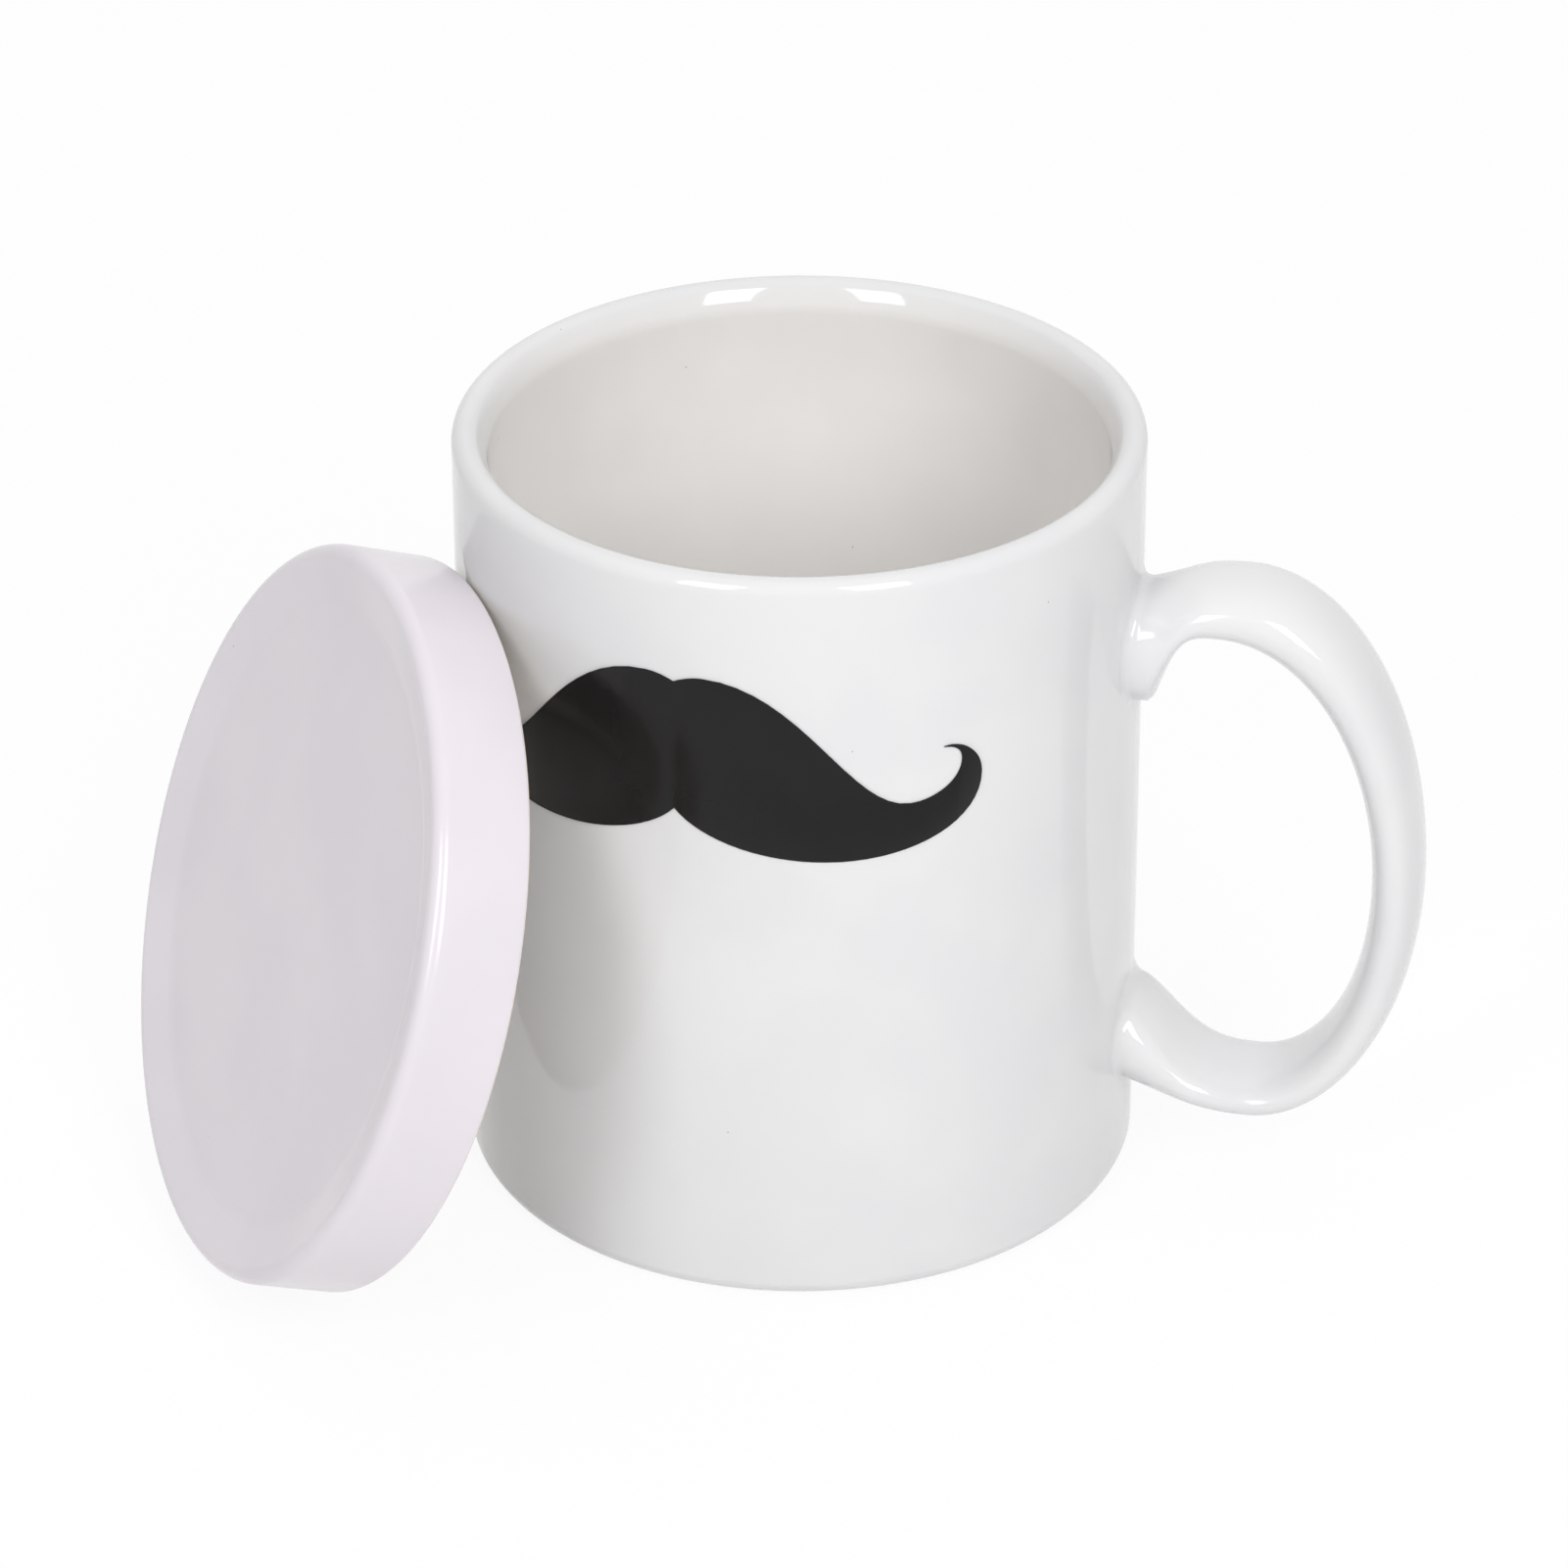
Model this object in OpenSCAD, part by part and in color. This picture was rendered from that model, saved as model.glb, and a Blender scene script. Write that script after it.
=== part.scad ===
// Straight-sided mug with a looped handle, a moustache printed on its wall and a
// loose dished lid that leans against it.
// Millimetres. The table is z = 0, the mug stands on the origin, the handle is along +X.

/* [Mug body] */
// Outside diameter of the wall
mug_d = 82; // [70:0.5:100]
// Height from the table to the top of the lip
mug_h = 96.5; // [90:0.5:130]
// Thickness of the wall below the lip
wall = 4.2; // [3.4:0.1:6]
// Width of the roll along the lip
lip_w = 3.4; // [2.4:0.1:3.8]
// Lean of the mouth's inside, from upright, where it meets the lip's roll
mouth_slope = 40; // [25:1:60]
// Thickness of the floor over the recess
floor_t = 4.6; // [3:0.1:8]
// Radius of the corner between the wall and the floor, inside
floor_corner = 7; // [2:0.5:14]
// Radius of the outside edge at the base
base_round = 2.2; // [0.5:0.1:5]
// Width of the foot ring's flat
foot_w = 4.4; // [2.5:0.1:8]
// Depth of the recess inside the foot ring
foot_h = 1.4; // [0.6:0.1:3]

/* [Handle] */
// How far the outermost point stands out from the wall
handle_reach = 35.2; // [28:0.2:45]
// Height of the loop's highest point above the table
handle_top = 81.6; // [74:0.2:84]
// Height of the loop's lowest point above the table
handle_low = 9.65; // [6:0.2:16]
// Height of the outermost point above the table
grip_z = 42.5; // [38:0.5:52]
// Width of the strap at the grip
handle_w = 14.5; // [9:0.1:18]
// Thickness of the strap at its outermost point
handle_t = 6.2; // [4:0.1:9]
// Thickness of the strap at its top bend
top_bend_t = 7; // [5:0.1:9]
// Thickness of the strap at its bottom bend
low_bend_t = 5.2; // [5:0.1:9]
// Distance from the wall to the highest point of the loop
top_inset = 13; // [9:0.1:18]
// Distance from the wall to the lowest point of the loop
low_inset = 15.5; // [9:0.1:18]
// Distance from the wall to the highest point of the finger gap
gap_top_inset = 9.6; // [7:0.1:16]
// Distance from the wall to the lowest point of the finger gap
gap_low_inset = 15.2; // [7:0.1:18]
// Width of both roots at the wall
root_w = 15; // [10:0.1:22]
// How far the outside of the loop falls back from its crest to the wall
root_drop = 2.8; // [0:0.1:6]
// How far the upper root spreads down the wall
root_flare_top = 9.8; // [2:0.1:16]
// How far the lower root spreads up the wall
root_flare_low = 9.7; // [2:0.1:16]
// Radius of the fillet over each root
top_fillet = 1.8; // [0.5:0.1:3]
// Radius of the fillet under each root
under_fillet = 0.5; // [0.2:0.1:2]

/* [Moustache print] */
// Width of the moustache from tip to tip, measured round the wall
print_w = 73.2; // [40:0.2:90]
// Height of the moustache
print_h = 23.3; // [14:0.1:28]
// Distance from the top of the lip down to the moustache
print_drop = 12.8; // [8:0.2:50]
// Direction that the middle of the moustache faces, from +X
print_heading = -99; // [-120:0.5:-80]
// Thickness of the fired layer
print_t = 0.2; // [0.1:0.05:0.4]

/* [Lid] */
// How far the lid stands out past the mug's wall
lid_overhang = 3; // [1:0.1:6]
// Height of the lid from its seat to its rim
lid_h = 11.7; // [9:0.1:18]
// Radius of the rim's outer edge
rim_round = 1.7; // [1:0.1:4]
// Radius of the outer edge of the seat
seat_round = 0.5; // [0.2:0.05:1.5]
// Depth of the dish in the top
dish_depth = 1.6; // [1:0.05:3]
// Slope from the rim down into the dish
dish_slope = 17; // [12:1:30]
// Radius of the bend from the rim to that slope
crest_round = 1.5; // [0.5:0.1:4]
// Radius of the bend from that slope to the dish's floor
dish_round = 5; // [2:0.5:15]
// Thickness of the web under the dish
web_t = 5.1; // [3:0.1:6]
// Height of the locating ring under the seat
ring_h = 2.5; // [2:0.1:5]
// Width of the locating ring
ring_w = 3.5; // [2:0.1:4]
// Room between the locating ring and the mug's mouth
ring_clear = 1.4; // [0.8:0.1:4]
// Radius of the corner at the top of the hollow
hollow_corner = 2.5; // [0.5:0.1:4]

/* [Leaning lid] */
// Tilt of the lid from upright
lean_tilt = 19.3; // [12:0.1:35]
// Direction that the lid's top faces, from +X
lean_heading = 212.2; // [195:0.2:235]
// Sideways shift of the lid along the wall
lean_shift = 3.1; // [-5:0.1:5]
// Room between the lid and the wall that it leans on
lean_gap = 0.3; // [0.2:0.05:1]

/* [Hidden] */
$fn = 128;

// How far cuts run past the faces they open
overrun = 1;

mug_r = mug_d / 2;
mouth_r = mug_r - wall;
lip_r = lip_w / 2;
floor_z = foot_h + floor_t;
// Bend that opens the mouth, from the straight wall up to the lip's roll
mouth_round = (wall - lip_r * (1 + cos(mouth_slope))) / (1 - cos(mouth_slope));
roll_z = mug_h - lip_r * (1 - sin(mouth_slope));
mouth_z = roll_z - mouth_round * sin(mouth_slope);
foot_r = mug_r - base_round - foot_w;

// Finger gap of the handle
gap_reach = handle_reach - handle_t;
gap_top = handle_top - top_bend_t;
gap_low = handle_low + low_bend_t;
// The roots run into the wall until their whole width is behind its curve
root_x = sqrt(mug_r * mug_r - root_w * root_w / 4) - overrun;
// Share of each half of the sweep that lies outside the crests
bend_share = 0.7;
// How late the two roots spread on their way to the wall, and how soon the upper one is done
top_root_power = 2.2;
top_root_rate = 1.55;
low_root_power = 1.6;
handle_rings = 88;
handle_sides = 28;
// Squareness of the strap's section: 2 is an ellipse
strap_power = 2.2;

// Lid sizes that follow the mug
lid_r = mug_r + lid_overhang;
crest_r = lid_r - rim_round;
dish_z = lid_h - dish_depth;
dish_bends = crest_round + dish_round;
slope_l = (dish_depth - dish_bends * (1 - cos(dish_slope))) / sin(dish_slope);
dish_r = crest_r - dish_bends * sin(dish_slope) - slope_l * cos(dish_slope);
ring_r = mouth_r - ring_clear;
hollow_r = ring_r - ring_w;
hollow_h = dish_z - web_t;

// Where the leaning lid stands: its seat's edge on the table, clear of the wall
lean_z = (lid_r - seat_round) * cos(lean_tilt) + seat_round * (1 - sin(lean_tilt));
edge_reach = (lid_r - seat_round) * sin(lean_tilt) + seat_round * (1 - cos(lean_tilt));
ring_reach = ring_r * sin(lean_tilt) + ring_h * cos(lean_tilt);
lip_reach = (mug_h - lip_r - lean_z) * tan(lean_tilt);
lean_out = mug_r + lean_gap + max(min(edge_reach, lip_reach), ring_reach);

print_z = mug_h - print_drop - print_h;
// Right half of the moustache as cubic curves, from the upper cleft round to the lower one.
// Each row is two handles and an end, as shares of the half width and of the height.
cleft_share = [0, 0.963];
wing_shares = [
    [[0.03, 0.985], [0.06, 1], [0.096, 1]],
    [[0.41, 1], [0.56, 0.288], [0.755, 0.288]],
    [[0.842, 0.288], [0.929, 0.37], [0.929, 0.485]],
    [[0.929, 0.54], [0.905, 0.567], [0.866, 0.573]],
    [[0.926, 0.592], [1, 0.515], [1, 0.386]],
    [[1, 0.107], [0.751, 0], [0.529, 0]],
    [[0.314, 0], [0.087, 0.094], [0, 0.253]]
];
curve_steps = 12;

function smooth_step(k) = let (u = min(k, 1)) u * u * (3 - 2 * u);

function bezier(p, q, r, s, t) =
    pow(1 - t, 3) * p + 3 * t * pow(1 - t, 2) * q + 3 * t * t * (1 - t) * r + pow(t, 3) * s;

// Half section from the axis outwards, with its two outer corners rounded
module round_block(w, h, low_r, top_r) {
    square([w - low_r, h / 2]);
    translate([0, h / 2]) square([w - top_r, h / 2]);
    translate([0, low_r]) square([w, h - low_r - top_r]);
    if (low_r > 0) translate([w - low_r, low_r]) circle(low_r);
    if (top_r > 0) translate([w - top_r, h - top_r]) circle(top_r);
}

// Mug

module mug_cavity() {
    translate([0, floor_z]) round_block(mouth_r, mouth_z - floor_z + overrun, floor_corner, 0);
}

module foot_recess() {
    translate([0, -overrun]) square([foot_r - foot_h, foot_h + overrun]);
    translate([foot_r - foot_h, 0]) circle(foot_h);
}

// A roll, and inside it a wider bend that opens the mouth
module mug_lip() {
    translate([mug_r - lip_r, mug_h - lip_r]) circle(lip_r);
    intersection() {
        translate([mouth_r + mouth_round, mouth_z]) circle(mouth_round);
        translate([mouth_r, mouth_z]) {
            square([wall, mug_h - lip_r - mouth_z]);
            square([wall - lip_r, roll_z - mouth_z]);
        }
    }
}

module mug_body() {
    color("whitesmoke") rotate_extrude() {
        difference() {
            round_block(mug_r, mouth_z, base_round, 0);
            mug_cavity();
            foot_recess();
        }
        mug_lip();
    }
}

// Handle: sections strung between an outer and an inner line. Each line is a quarter
// ellipse up to its crest and another down to its lowest point, and then runs back to the
// wall, where the inner line spreads and a fillet runs round each root.

// Distance along X of a line at s, from -1 at the lower root to 1 at the upper one
function line_x(s, reach, inset) =
    let (k = abs(s))
    k < bend_share
        ? mug_r + inset + (reach - inset) * cos(90 * k / bend_share)
        : mug_r + inset + (root_x - mug_r - inset) * (k - bend_share) / (1 - bend_share);

// Height of a line at s, before its root
function line_z(s, top, low) =
    grip_z + ((s > 0 ? top : low) - grip_z) * sin(90 * min(abs(s) / bend_share, 1));

// Share of the way from a crest back to the wall
function root_share(x, inset) = min(max((mug_r + inset - x) / inset, 0), 1);

function outer_line(s) =
    let (
        inset = s > 0 ? top_inset : low_inset,
        x = line_x(s, handle_reach, inset),
        drop = root_drop * pow(root_share(x, inset), 2)
    )
    [x, line_z(s, handle_top, handle_low) - sign(s) * drop];

function inner_line(s) =
    let (
        inset = s > 0 ? gap_top_inset : gap_low_inset,
        x = line_x(s, gap_reach, inset),
        k = root_share(x, inset),
        flare = s > 0
            ? root_flare_top * smooth_step(top_root_rate * pow(k, top_root_power))
            : root_flare_low * smooth_step(pow(k, low_root_power))
    )
    [x, line_z(s, gap_top, gap_low) - sign(s) * flare];

function strap_curve(v) = sign(v) * pow(abs(v), 2 / strap_power);

// What a fillet adds to a root at a point that far from the wall, by how far up the root it is
function fillet_at(gap, lift) =
    let (
        r = under_fillet + (top_fillet - under_fillet) * (lift + 1) / 2,
        rest = r - min(max(gap, 0), r)
    )
    r - sqrt(r * r - rest * rest);

function strap_section(s) =
    let (
        a = inner_line(s),
        b = outer_line(s),
        mid = (a + b) / 2,
        half = (b - a) / 2,
        k = root_share(mid[0], s > 0 ? top_inset : low_inset),
        half_w = (handle_w + (root_w - handle_w) * smooth_step(k)) / 2
    )
    [
        for (j = [0 : handle_sides - 1])
            let (
                p = strap_curve(cos(360 * j / handle_sides)),
                q = strap_curve(sin(360 * j / handle_sides)),
                at = mid + half * p,
                wall_x = sqrt(mug_r * mug_r - pow(half_w * q, 2)),
                fillet = fillet_at(at[0] - wall_x, sign(s) * p),
                out = at + half / norm(half) * fillet * p
            )
            [out[0], (half_w + fillet) * q, out[1]]
    ];

// Half of the rings go to the bends, the rest to the roots and their fillets
function ring_place(share) =
    let (k = 2 * abs(share))
    sign(share) * (k < 1 ? bend_share * k : bend_share + (1 - bend_share) * (k - 1));

module handle_loop() {
    rings = [for (i = [0 : handle_rings]) strap_section(ring_place(2 * i / handle_rings - 1))];
    points = [for (ring = rings) each ring];
    n = handle_sides;
    sides = [
        for (i = [0 : handle_rings - 1], j = [0 : n - 1])
            let (k = (j + 1) % n, low = i * n, high = low + n)
            each [[low + j, low + k, high + k], [low + j, high + k, high + j]]
    ];
    first = [for (j = [0 : n - 1]) n - 1 - j];
    last = [for (j = [0 : n - 1]) handle_rings * n + j];
    polyhedron(points, concat(sides, [first, last]));
}

module mug_handle() {
    color("whitesmoke") difference() {
        handle_loop();
        cylinder(h = mug_h, r = mug_r);
    }
}

// Moustache: its outline laid round the wall, then cut from a thin shell

function wing_points() = [
    for (i = [0 : len(wing_shares) - 1], k = [1 : curve_steps])
        let (
            start = i == 0 ? cleft_share : wing_shares[i - 1][2],
            row = wing_shares[i]
        )
        bezier(start, row[0], row[1], row[2], k / curve_steps)
];

function round_the_wall(share, side) =
    let (angle = share[0] * print_w / 2 / mug_r * 180 / PI)
    [side * mug_r * sin(angle), print_z + print_h * share[1]];

module moustache_outline() {
    wing = wing_points();
    right = [for (share = wing) round_the_wall(share, 1)];
    left = [for (i = [len(wing) - 2 : -1 : 0]) round_the_wall(wing[i], -1)];
    polygon(concat([round_the_wall(cleft_share, 1)], right, left));
}

module moustache_print() {
    color("#2b2927") intersection() {
        difference() {
            cylinder(h = mug_h, r = mug_r + print_t);
            translate([0, 0, -overrun]) cylinder(h = mug_h + 2 * overrun, r = mug_r);
        }
        rotate([90, 0, print_heading + 90]) linear_extrude(mug_d) moustache_outline();
    }
}

// Lid

// A flat floor, a straight slope and a bend at each end of the slope
module lid_dish() {
    bend = [sin(dish_slope), 1 - cos(dish_slope)];
    difference() {
        union() {
            polygon([
                [0, dish_z],
                [dish_r, dish_z],
                [dish_r, dish_z] + dish_round * bend,
                [crest_r, lid_h] - crest_round * bend,
                [crest_r, lid_h],
                [crest_r, lid_h + overrun],
                [0, lid_h + overrun]
            ]);
            translate([dish_r, dish_z + dish_round]) circle(dish_round);
        }
        translate([crest_r, lid_h - crest_round]) circle(crest_round);
    }
}

module lid_profile() {
    difference() {
        round_block(lid_r, lid_h, seat_round, rim_round);
        lid_dish();
        translate([0, -overrun]) round_block(hollow_r, hollow_h + overrun, 0, hollow_corner);
    }
    translate([hollow_r, ring_w / 2 - ring_h]) square([ring_w, ring_h]);
    translate([hollow_r + ring_w / 2, ring_w / 2 - ring_h]) circle(ring_w / 2);
}

module leaning() {
    out = [cos(lean_heading), sin(lean_heading)] * lean_out;
    along = [-sin(lean_heading), cos(lean_heading)] * lean_shift;
    at = out + along;
    translate([at[0], at[1], lean_z]) rotate([0, 90 - lean_tilt, lean_heading]) children();
}

module lid() {
    color("lavenderblush") leaning() rotate_extrude() lid_profile();
}

mug_body();
mug_handle();
moustache_print();
lid();
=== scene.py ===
"""A glazed mug with a moustache fired on its wall and a loose lid that leans against it.

The mug, its handle, the moustache and the lid are turned, lofted and glazed in the places of
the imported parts, and stand on a white table in a white tent, with two soft light panels in
front. Sizes are metres.
"""

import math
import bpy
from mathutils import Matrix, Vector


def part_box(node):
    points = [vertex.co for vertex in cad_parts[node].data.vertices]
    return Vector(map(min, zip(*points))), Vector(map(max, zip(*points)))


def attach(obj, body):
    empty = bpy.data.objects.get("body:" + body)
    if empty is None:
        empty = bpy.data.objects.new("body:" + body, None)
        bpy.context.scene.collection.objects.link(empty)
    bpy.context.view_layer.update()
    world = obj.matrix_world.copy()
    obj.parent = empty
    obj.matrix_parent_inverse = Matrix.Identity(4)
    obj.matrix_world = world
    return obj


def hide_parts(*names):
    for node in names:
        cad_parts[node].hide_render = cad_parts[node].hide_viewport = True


bl_info = {
    "name": "Moustache Mug",
    "version": (1, 0, 0),
    "blender": (4, 5, 0),
    "location": "View3D > Sidebar > Mug",
    "description": "Builds a glazed mug with a printed moustache and a leaning lid on a white table",
    "category": "Add Mesh",
}

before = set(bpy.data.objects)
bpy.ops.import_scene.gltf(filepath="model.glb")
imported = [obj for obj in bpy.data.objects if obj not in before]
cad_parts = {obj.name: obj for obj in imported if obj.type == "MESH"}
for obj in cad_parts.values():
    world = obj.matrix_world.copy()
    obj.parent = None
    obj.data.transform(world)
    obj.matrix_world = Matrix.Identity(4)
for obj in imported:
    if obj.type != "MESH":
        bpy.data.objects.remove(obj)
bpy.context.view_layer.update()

import bmesh
import bpy
from bpy.props import FloatProperty, FloatVectorProperty, PointerProperty
from mathutils import Matrix, Vector
from mathutils.geometry import interpolate_bezier

BODY_LOW, BODY_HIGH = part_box("mug_body")
HANDLE_LOW, HANDLE_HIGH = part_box("mug_handle")
PRINT_LOW, PRINT_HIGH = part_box("moustache_print")
LID_LOW, LID_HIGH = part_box("lid")

MM = 0.001

# How finely the pieces are divided
TURN_STEPS = 192
ROUND_STEPS = 14
LONGEST_SPAN = 2 * MM
LOOP_RINGS = 72
ROOT_RINGS = 14
FILLET_RINGS = 9
STRAP_SIDES = 64
CURVE_STEPS = 16
STRIP_WIDTH = 1.2 * MM
EDGE_STEPS = 2
MERGE_DISTANCE = 0.002 * MM

# Faces that meet at more than this are shaded as an edge
SHARP_ANGLE = math.radians(35)
# Faces of the print that meet at more than this are its rim
RIM_ANGLE = math.radians(60)

# Width of the camera's film in millimetres
FILM_WIDTH = 36

# Share of each half of the handle's sweep that lies outside the crests of the loop
BEND_SHARE = 0.7
# How late the two roots spread on their way back to the wall, and how soon they are done
TOP_ROOT_POWER = 2.2
TOP_ROOT_RATE = 1.55
LOW_ROOT_POWER = 1.6
# Squareness of the strap's section: 2 is an ellipse
STRAP_POWER = 2.2

# Right half of the moustache as cubic curves, from the upper cleft round to the lower one.
# Each row is two handles and an end, as shares of the half width and of the height.
CLEFT_SHARE = (0, 0.963)
WING_SHARES = (
    ((0.03, 0.985), (0.06, 1), (0.096, 1)),
    ((0.41, 1), (0.56, 0.288), (0.755, 0.288)),
    ((0.842, 0.288), (0.929, 0.37), (0.929, 0.485)),
    ((0.929, 0.54), (0.905, 0.567), (0.866, 0.573)),
    ((0.926, 0.592), (1, 0.515), (1, 0.386)),
    ((1, 0.107), (0.751, 0), (0.529, 0)),
    ((0.314, 0), (0.087, 0.094), (0, 0.253)),
)


# Settings

def length(name, description, default):
    """A size in metres."""
    return FloatProperty(
        name=name, description=description, default=default, unit="LENGTH", precision=5
    )


def turn(name, description, degrees):
    """An angle, written here in degrees."""
    return FloatProperty(
        name=name,
        description=description,
        default=math.radians(degrees),
        subtype="ANGLE",
        unit="ROTATION",
    )


def factor(name, description, default):
    """A plain number without a unit."""
    return FloatProperty(name=name, description=description, default=default, precision=4)


def colour(name, description, default):
    """A linear colour."""
    return FloatVectorProperty(
        name=name,
        description=description,
        default=default,
        size=3,
        min=0,
        max=1,
        subtype="COLOR",
    )


class MUG_PG_body(bpy.types.PropertyGroup):
    """Sizes of the mug body"""

    diameter: length("Diameter", "Outside diameter of the wall", BODY_HIGH.x - BODY_LOW.x)
    height: length("Height", "Height of the lip above the table", BODY_HIGH.z)
    wall: length("Wall", "Thickness of the wall below the lip", 4.2 * MM)
    lip_width: length("Lip width", "Width of the rolled lip", 3.4 * MM)
    mouth_slope: turn("Mouth slope", "Lean of the mouth inside the lip, from upright", 40)
    floor: length("Floor", "Thickness of the floor over the recess", 4.6 * MM)
    floor_corner: length("Floor corner", "Radius of the corner at the floor, inside", 7 * MM)
    base_round: length("Base round", "Radius of the outside edge at the base", 2.2 * MM)
    foot_width: length("Foot width", "Width of the foot ring's flat", 4.4 * MM)
    foot_depth: length("Foot depth", "Depth of the recess inside the foot ring", 1.4 * MM)


class MUG_PG_handle(bpy.types.PropertyGroup):
    """Sizes of the handle"""

    reach: length("Reach", "Outermost point, from the wall", HANDLE_HIGH.x - BODY_HIGH.x)
    top: length("Top", "Height of the loop's highest point", HANDLE_HIGH.z)
    low: length("Low", "Height of the loop's lowest point", HANDLE_LOW.z)
    grip_height: length("Grip height", "Height of the outermost point", 42.5 * MM)
    width: length("Width", "Width of the strap at the grip", 14.5 * MM)
    grip_depth: length("Grip depth", "Thickness of the strap at the grip", 6.2 * MM)
    top_depth: length("Top depth", "Thickness of the strap at its top bend", 7 * MM)
    low_depth: length("Low depth", "Thickness of the strap at its bottom bend", 5.2 * MM)
    top_inset: length("Top inset", "Highest point of the loop, from the wall", 13 * MM)
    low_inset: length("Low inset", "Lowest point of the loop, from the wall", 15.5 * MM)
    gap_top_inset: length("Gap top inset", "Highest point of the gap, from the wall", 9.6 * MM)
    gap_low_inset: length("Gap low inset", "Lowest point of the gap, from the wall", 15.2 * MM)
    root_width: length("Root width", "Width of both roots at the wall", 15 * MM)
    root_drop: length("Root drop", "Fall of the loop from its crest to the wall", 2.8 * MM)
    top_flare: length("Top flare", "Spread of the upper root down the wall", 9.8 * MM)
    low_flare: length("Low flare", "Spread of the lower root up the wall", 9.7 * MM)
    upper_fillet: length("Upper fillet", "Run of the fillet over each root", 1.8 * MM)
    under_fillet: length("Under fillet", "Run of the fillet under each root", 0.5 * MM)
    root_sink: length("Root sink", "How far the roots run into the wall", 1 * MM)


class MUG_PG_moustache(bpy.types.PropertyGroup):
    """Sizes of the moustache"""

    width: length("Width", "Tip to tip, measured round the wall", 73.2 * MM)
    height: length("Height", "Height of the moustache", PRINT_HIGH.z - PRINT_LOW.z)
    low_edge: length("Low edge", "Height of its lower edge above the table", PRINT_LOW.z)
    heading: turn("Heading", "Direction that its middle faces, from +X", -99)
    layer: length("Layer", "Thickness of the fired layer", 0.2 * MM)
    edge_round: length("Edge round", "Rounding of the layer's edge", 0.08 * MM)


class MUG_PG_lid(bpy.types.PropertyGroup):
    """Sizes of the lid"""

    overhang: length("Overhang", "How far the lid stands out past the wall", 3 * MM)
    height: length("Height", "Height from the seat to the rim", 11.7 * MM)
    rim_round: length("Rim round", "Radius of the rim's outer edge", 1.7 * MM)
    seat_round: length("Seat round", "Radius of the seat's outer edge", 0.5 * MM)
    dish_depth: length("Dish depth", "Depth of the dish in the top", 1.6 * MM)
    dish_slope: turn("Dish slope", "Slope from the rim down into the dish", 17)
    crest_round: length("Crest round", "Radius of the bend from the rim to the slope", 1.5 * MM)
    dish_round: length("Dish round", "Radius of the bend from the slope to the floor", 5 * MM)
    web: length("Web", "Thickness under the dish", 5.1 * MM)
    ring_height: length("Ring height", "Height of the ring under the seat", 2.5 * MM)
    ring_width: length("Ring width", "Width of the ring under the seat", 3.5 * MM)
    ring_room: length("Ring room", "Room between the ring and the mouth", 1.4 * MM)
    ring_fillet: length("Ring fillet", "Run of the fillet beside the ring", 0.4 * MM)
    hollow_corner: length("Hollow corner", "Radius of the hollow's corner", 2.5 * MM)
    tilt: turn("Tilt", "Tilt of the lid from upright", 19.3)
    heading: turn("Heading", "Direction that the lid's top faces, from +X", 212.2)


class MUG_PG_finish(bpy.types.PropertyGroup):
    """Colours and textures of the glaze, the ink and the bare clay, and the inside white's painted
    bounce light
    """

    outside: colour("Outside", "White of the glaze outside the mug", (0.735, 0.735, 0.741))
    # Painted bounce light: a warmer white made brighter than the outside glaze, for light gathered
    # inside the mug; the lid's hollow takes it too
    inside: colour("Inside", "Warmer white of the glaze inside the mug", (0.985, 0.953, 0.912))
    lid: colour("Lid", "Faintly lilac white of the lid's glaze", (0.735, 0.694, 0.735))
    ink: colour("Ink", "Near-black of the moustache", (0.006, 0.0058, 0.0062))
    ink_thin: colour("Thin ink", "Browner black where the ink is thin", (0.0095, 0.0085, 0.0084))
    clay: colour("Clay", "Bare fired clay of the foot and the seat", (0.84, 0.77, 0.68))
    speck: colour("Speck", "Iron specks in the glaze", (0.3, 0.24, 0.2))
    depth_share: factor("Mottling", "How much the glaze's white varies", 0.03)
    gloss: factor("Gloss roughness", "Roughness of the mug's glaze", 0.06)
    lid_gloss: factor("Lid roughness", "Roughness of the lid's softer glaze", 0.2)
    ink_gloss: factor("Ink roughness", "Roughness of the fired ink", 0.22)
    ink_shine: factor("Ink shine", "Strength of the reflections in the fired ink", 0.22)
    glaze_bend: factor("Glaze bend", "Index of refraction of the glaze", 1.5)
    dull: factor("Bare roughness", "Roughness of the bare clay", 0.8)
    wave: length("Wave", "Width of the slow waves in the glaze", 18 * MM)
    peel: length("Peel", "Width of the fine ripple in the glaze", 1.2 * MM)
    ripple: length("Ripple", "Height of the waves in the glaze", 0.03 * MM)
    speck_gap: length("Speck gap", "Distance between specks", 7 * MM)
    speck_size: length("Speck size", "Radius of the largest specks", 0.12 * MM)
    glaze_line: length("Glaze line", "Height of the glaze's edge above the bare clay", 0.35 * MM)
    sway: length("Sway", "Width of the sways in the glaze's edge", 4 * MM)


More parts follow.
